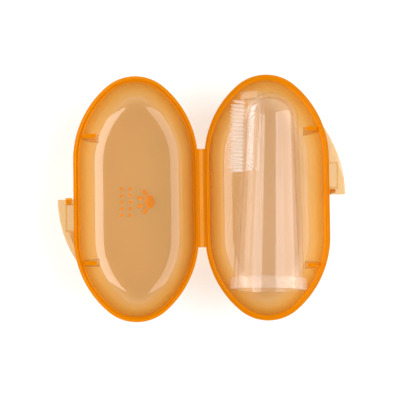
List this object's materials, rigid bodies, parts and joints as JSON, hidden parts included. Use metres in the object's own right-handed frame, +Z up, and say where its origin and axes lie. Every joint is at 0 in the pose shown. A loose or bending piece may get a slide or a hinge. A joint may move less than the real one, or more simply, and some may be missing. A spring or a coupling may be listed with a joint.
{
  "type": "finger toothbrush",
  "caption": "Silicone finger toothbrush with a bristle head, lying in a hinged oval translucent travel case that is open flat.",
  "frame": {"origin": "on the table under the hinge line, midway along it, where the box's bottom centre is", "axes": "+X from the hinge towards the half that holds the brush, +Y along the hinge towards the brush's domed end, +Z up out of the open halves"},
  "size_m": [0.0808, 0.069, 0.0241],
  "materials": {
    "case_orange": "gloss, translucent orange polypropylene",
    "tab_amber": "gloss, thin pale translucent orange polypropylene",
    "print_ink": "pad-printed orange ink",
    "silicone": "clear soft silicone, satin to gloss",
    "bristle_silicone": "clear soft silicone bristles, satin"
  },
  "bodies": {
    "base": {"base_shell": "case_orange", "base_locating_lip": "case_orange", "base_rib_upper": "case_orange", "base_rib_lower": "case_orange", "base_latch_block": "case_orange", "base_tab_gusset": "case_orange", "base_pull_tab": "tab_amber", "hinge_leaf_base": "case_orange"},
    "lid": {"lid_shell": "case_orange", "lid_outer_rim": "case_orange", "lid_rib_upper": "case_orange", "lid_rib_lower": "case_orange", "lid_latch_hook": "case_orange", "lid_tab_web": "case_orange", "lid_pull_tab": "tab_amber", "lid_print": "print_ink", "hinge_leaf_lid": "case_orange"},
    "brush": {"brush_sleeve": "silicone", "brush_collar": "silicone", "bristle_pad": "silicone", "bristle_column_a": "bristle_silicone", "bristle_column_b": "bristle_silicone", "bristle_column_c": "bristle_silicone", "bristle_column_d": "bristle_silicone", "bristle_column_e": "bristle_silicone", "bristle_column_f": "bristle_silicone"}
  },
  "joints": [
    {"name": "lid_hinge", "type": "hinge", "parent": "base", "child": "lid", "pos_m": [0, 0, 0.01405], "axis": [0, 1, 0], "range_deg": [0, 180]},
    {"name": "brush_lift", "type": "slide", "parent": "base", "child": "brush", "axis": [0, 0, 1], "range_m": [0, 0.035]}
  ]
}
